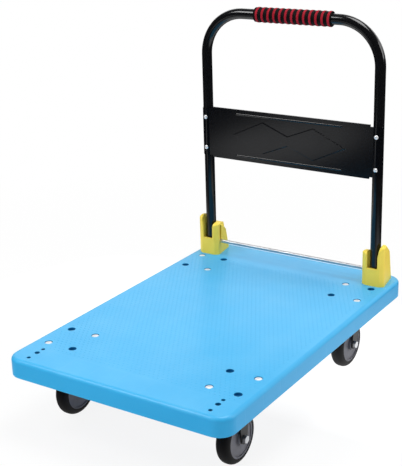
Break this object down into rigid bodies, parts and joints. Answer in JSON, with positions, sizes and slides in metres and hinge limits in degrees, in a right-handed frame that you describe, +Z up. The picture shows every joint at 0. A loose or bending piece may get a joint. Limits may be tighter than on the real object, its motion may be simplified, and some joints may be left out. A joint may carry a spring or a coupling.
{
  "type": "folding platform cart",
  "caption": "Folding platform cart: moulded deck on fixed and swivel casters, with a bent tube handle, guard panel and foam grip that lifts and folds forward.",
  "frame": {"origin": "centre of the cart's plan, on the floor under the wheels", "axes": "+X to the cart's right when seen from the open front end, +Y towards the handle, +Z up"},
  "size_m": [0.48, 0.72, 0.716],
  "materials": {
    "deck_blue": "satin moulded polypropylene with fine anti-slip pips",
    "hinge_yellow": "satin moulded nylon",
    "tube_black": "gloss black powder coat",
    "panel_black": "gloss black powder coat on pressed sheet",
    "caster_black": "satin black coating on pressed sheet",
    "zinc_steel": "bright zinc plate",
    "rivet_bright": "bright aluminium",
    "bearing_steel": "greased plain steel",
    "grip_foam": "closed-cell foam, raised red rings with black grooves",
    "hub_grey": "grey moulded plastic",
    "tyre_rubber": "black moulded rubber"
  },
  "bodies": {
    "deck": {"deck": "deck_blue", "caster_bolts": "zinc_steel", "caster_nuts": "zinc_steel", "hinge_housing_left": "hinge_yellow", "hinge_housing_right": "hinge_yellow", "housing_screws": "zinc_steel", "front_left_horn": "caster_black", "front_left_axle_bolt": "zinc_steel", "front_left_axle_nut": "zinc_steel", "front_left_axle_sleeve": "bearing_steel", "rear_left_swivel_plate": "caster_black", "rear_left_king_pin": "zinc_steel", "rear_left_race_balls": "bearing_steel", "front_right_horn": "caster_black", "front_right_axle_bolt": "zinc_steel", "front_right_axle_nut": "zinc_steel", "front_right_axle_sleeve": "bearing_steel", "rear_right_swivel_plate": "caster_black", "rear_right_king_pin": "zinc_steel", "rear_right_race_balls": "bearing_steel"},
    "hinge_rod": {"hinge_rod": "zinc_steel"},
    "handle": {"handle_tube": "tube_black", "guard_panel": "panel_black", "panel_rivets": "rivet_bright", "foam_grip": "grip_foam"},
    "front_left_wheel": {"front_left_wheel_core": "hub_grey", "front_left_tyre": "tyre_rubber"},
    "rear_left_wheel": {"rear_left_wheel_core": "hub_grey", "rear_left_tyre": "tyre_rubber"},
    "rear_left_swivel": {"rear_left_fork": "caster_black", "rear_left_axle_bolt": "zinc_steel", "rear_left_axle_nut": "zinc_steel", "rear_left_axle_sleeve": "bearing_steel"},
    "front_right_wheel": {"front_right_wheel_core": "hub_grey", "front_right_tyre": "tyre_rubber"},
    "rear_right_wheel": {"rear_right_wheel_core": "hub_grey", "rear_right_tyre": "tyre_rubber"},
    "rear_right_swivel": {"rear_right_fork": "caster_black", "rear_right_axle_bolt": "zinc_steel", "rear_right_axle_nut": "zinc_steel", "rear_right_axle_sleeve": "bearing_steel"}
  },
  "joints": [
    {"name": "handle_lift", "type": "slide", "parent": "deck", "child": "hinge_rod", "axis": [0, 0, 1], "range_m": [0, 0.0335]},
    {"name": "handle_fold", "type": "hinge", "parent": "hinge_rod", "child": "handle", "pos_m": [0, 0.2955, 0.18505], "axis": [1, 0, 0], "range_deg": [0, 90]},
    {"name": "front_left_spin", "type": "hinge", "parent": "deck", "child": "front_left_wheel", "pos_m": [-0.18, -0.236, 0.05], "axis": [1, 0, 0], "continuous": true},
    {"name": "rear_left_turn", "type": "hinge", "parent": "deck", "child": "rear_left_swivel", "pos_m": [-0.18, 0.229, 0.1205], "axis": [0, 0, 1], "continuous": true},
    {"name": "rear_left_spin", "type": "hinge", "parent": "rear_left_swivel", "child": "rear_left_wheel", "pos_m": [-0.18, 0.207, 0.05], "axis": [1, 0, 0], "continuous": true},
    {"name": "front_right_spin", "type": "hinge", "parent": "deck", "child": "front_right_wheel", "pos_m": [0.18, -0.236, 0.05], "axis": [1, 0, 0], "continuous": true},
    {"name": "rear_right_turn", "type": "hinge", "parent": "deck", "child": "rear_right_swivel", "pos_m": [0.18, 0.229, 0.1205], "axis": [0, 0, 1], "continuous": true},
    {"name": "rear_right_spin", "type": "hinge", "parent": "rear_right_swivel", "child": "rear_right_wheel", "pos_m": [0.18, 0.207, 0.05], "axis": [1, 0, 0], "continuous": true}
  ],
  "couplings": [
    {"joint": "handle_lift", "follows": "handle_fold", "m_per_rad": 0.021008}
  ]
}
